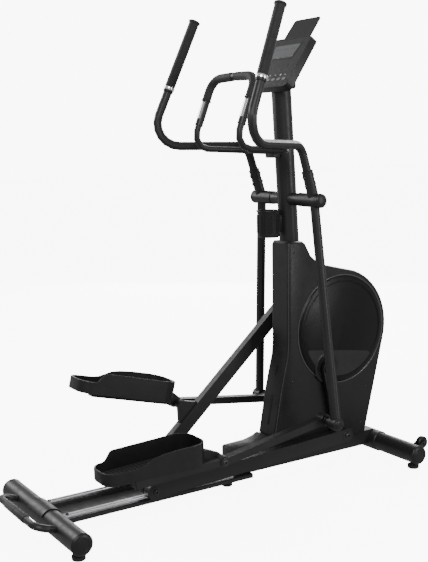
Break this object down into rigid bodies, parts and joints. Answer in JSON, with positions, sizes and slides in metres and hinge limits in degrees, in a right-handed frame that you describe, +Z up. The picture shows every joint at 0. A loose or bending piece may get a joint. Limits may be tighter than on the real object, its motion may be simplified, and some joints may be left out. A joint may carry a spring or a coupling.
{
  "type": "elliptical trainer",
  "caption": "Front-drive elliptical trainer: rail-guided pedal links, swinging handlebars and a fixed pulse bar around a slim flywheel casing and console.",
  "frame": {"origin": "on the floor, under the middle of the machine's bounding box", "axes": "+Z up, +Y towards the flywheel casing and front stabiliser, +X to the right of the person standing on the pedals"},
  "size_m": [0.6542, 1.6567, 1.7703],
  "materials": {
    "frame_paint": "satin black powder coat",
    "casing_plastic": "fine-grained satin black",
    "disc_plastic": "polished black",
    "pedal_plastic": "grained dark charcoal",
    "trim_plastic": "satin dark charcoal",
    "grip_foam": "dense black foam",
    "foot_rubber": "moulded black rubber",
    "belt_rubber": "ribbed black rubber",
    "rail_aluminium": "extruded, brushed bright",
    "axle_steel": "ground steel",
    "flywheel_iron": "machined cast iron",
    "roller_plastic": "dark polyurethane",
    "console_plastic": "satin black console panel",
    "button_rubber": "grey key caps"
  },
  "bodies": {
    "frame": {"beam_shroud": "casing_plastic", "bottle_holder": "trim_plastic", "casing_disc_left": "disc_plastic", "casing_disc_right": "disc_plastic", "casing_left": "casing_plastic", "casing_right": "casing_plastic", "console_face": "console_plastic", "console_housing": "trim_plastic", "cross_axle": "axle_steel", "drive_belt": "belt_rubber", "drive_frame": "frame_paint", "front_cap_left": "trim_plastic", "front_cap_right": "trim_plastic", "front_foot_left": "foot_rubber", "front_foot_right": "foot_rubber", "front_stabiliser": "frame_paint", "lift_grip": "grip_foam", "lift_handle": "frame_paint", "main_beam": "frame_paint", "mast": "frame_paint", "middle_foot": "foot_rubber", "pulse_bar": "frame_paint", "pulse_grip_left": "grip_foam", "pulse_grip_right": "grip_foam", "rail_left": "rail_aluminium", "rail_right": "rail_aluminium", "rail_tray": "frame_paint", "rear_cap_left": "trim_plastic", "rear_cap_right": "trim_plastic", "rear_foot_left": "foot_rubber", "rear_foot_right": "foot_rubber", "rear_stabiliser": "frame_paint", "tablet_rest": "trim_plastic"},
    "crank": {"crank_left": "frame_paint", "crank_right": "frame_paint", "crank_axle": "axle_steel", "drive_pulley": "trim_plastic"},
    "flywheel": {"flywheel": "flywheel_iron"},
    "magnet": {"brake_magnet": "axle_steel"},
    "carriage_right": {"roller_axle_right": "axle_steel"},
    "roller_right": {"roller_right": "roller_plastic"},
    "link_right": {"rail_link_right": "frame_paint"},
    "foot_right": {"foot_link_right": "frame_paint", "pedal_right": "pedal_plastic"},
    "arm_right": {"swing_arm_right": "frame_paint", "handlebar_right": "frame_paint", "handlebar_grip_right": "grip_foam"},
    "wheel_right": {"transport_wheel_right": "trim_plastic"},
    "carriage_left": {"roller_axle_left": "axle_steel"},
    "roller_left": {"roller_left": "roller_plastic"},
    "link_left": {"rail_link_left": "frame_paint"},
    "foot_left": {"foot_link_left": "frame_paint", "pedal_left": "pedal_plastic"},
    "arm_left": {"swing_arm_left": "frame_paint", "handlebar_left": "frame_paint", "handlebar_grip_left": "grip_foam"},
    "wheel_left": {"transport_wheel_left": "trim_plastic"},
    "button_1": {"console_button_1": "button_rubber"},
    "button_2": {"console_button_2": "button_rubber"},
    "button_3": {"console_button_3": "button_rubber"}
  },
  "joints": [
    {"name": "crank_turn", "type": "hinge", "parent": "frame", "child": "crank", "pos_m": [0, 0.4708, 0.41], "axis": [1, 0, 0], "range_deg": [0, 60]},
    {"name": "flywheel_spin", "type": "hinge", "parent": "frame", "child": "flywheel", "pos_m": [0, 0.5628, 0.605], "axis": [1, 0, 0], "range_deg": [0, 361]},
    {"name": "right_carriage_slide", "type": "slide", "parent": "frame", "child": "carriage_right", "axis": [0, 1, 0], "range_m": [0, 0.2369]},
    {"name": "right_roller_spin", "type": "hinge", "parent": "carriage_right", "child": "roller_right", "pos_m": [0, -0.35318, 0.0998], "axis": [1, 0, 0], "range_deg": [-520, 0]},
    {"name": "right_link_tilt", "type": "hinge", "parent": "carriage_right", "child": "link_right", "pos_m": [0, -0.35318, 0.0998], "axis": [1, 0, 0], "range_deg": [0, 11.9]},
    {"name": "right_foot_link_turn", "type": "hinge", "parent": "link_right", "child": "foot_right", "pos_m": [0, -0.11153, 0.17887], "axis": [1, 0, 0], "range_deg": [-13.4, 0]},
    {"name": "right_arm_swing", "type": "hinge", "parent": "frame", "child": "arm_right", "pos_m": [0, 0.3258, 1.082], "axis": [1, 0, 0], "range_deg": [0, 15.2]},
    {"name": "left_carriage_slide", "type": "slide", "parent": "frame", "child": "carriage_left", "axis": [0, 1, 0], "range_m": [-0.3327, 0]},
    {"name": "left_roller_spin", "type": "hinge", "parent": "carriage_left", "child": "roller_left", "pos_m": [0, -0.23394, 0.0998], "axis": [1, 0, 0], "range_deg": [0, 731]},
    {"name": "left_link_tilt", "type": "hinge", "parent": "carriage_left", "child": "link_left", "pos_m": [0, -0.23394, 0.0998], "axis": [1, 0, 0], "range_deg": [-14.3, 0]},
    {"name": "left_foot_link_turn", "type": "hinge", "parent": "link_left", "child": "foot_left", "pos_m": [0, -0.09577, 0.31324], "axis": [1, 0, 0], "range_deg": [0, 23.3]},
    {"name": "left_arm_swing", "type": "hinge", "parent": "frame", "child": "arm_left", "pos_m": [0, 0.3258, 1.082], "axis": [1, 0, 0], "range_deg": [-19.5, 0]},
    {"name": "right_wheel_roll", "type": "hinge", "parent": "frame", "child": "wheel_right", "pos_m": [0.255, 0.8033, 0.091], "axis": [1, 0, 0], "continuous": true},
    {"name": "left_wheel_roll", "type": "hinge", "parent": "frame", "child": "wheel_left", "pos_m": [-0.255, 0.8033, 0.091], "axis": [1, 0, 0], "continuous": true},
    {"name": "button_1_press", "type": "slide", "parent": "frame", "child": "button_1", "axis": [0, 0.829, -0.5592], "range_m": [0, 0.0015], "stiffness_N_per_m": 600},
    {"name": "button_2_press", "type": "slide", "parent": "frame", "child": "button_2", "axis": [0, 0.829, -0.5592], "range_m": [0, 0.0015], "stiffness_N_per_m": 600},
    {"name": "button_3_press", "type": "slide", "parent": "frame", "child": "button_3", "axis": [0, 0.829, -0.5592], "range_m": [0, 0.0015], "stiffness_N_per_m": 600},
    {"name": "magnet_lift", "type": "hinge", "parent": "frame", "child": "magnet", "pos_m": [0, 0.45059, 0.70604], "axis": [1, 0, 0], "range_deg": [0, 5]}
  ],
  "couplings": [
    {"joint": "flywheel_spin", "follows": "crank_turn", "ratio": 6},
    {"joint": "right_carriage_slide", "follows": "crank_turn", "m_per_rad": 0.22527},
    {"joint": "right_roller_spin", "follows": "crank_turn", "ratio": -8.6642},
    {"joint": "right_link_tilt", "follows": "crank_turn", "ratio": 0.19745},
    {"joint": "right_foot_link_turn", "follows": "crank_turn", "ratio": -0.22204},
    {"joint": "right_arm_swing", "follows": "crank_turn", "ratio": 0.25162},
    {"joint": "left_carriage_slide", "follows": "crank_turn", "m_per_rad": -0.31673},
    {"joint": "left_roller_spin", "follows": "crank_turn", "ratio": 12.182},
    {"joint": "left_link_tilt", "follows": "crank_turn", "ratio": -0.237},
    {"joint": "left_foot_link_turn", "follows": "crank_turn", "ratio": 0.38604},
    {"joint": "left_arm_swing", "follows": "crank_turn", "ratio": -0.32338}
  ]
}
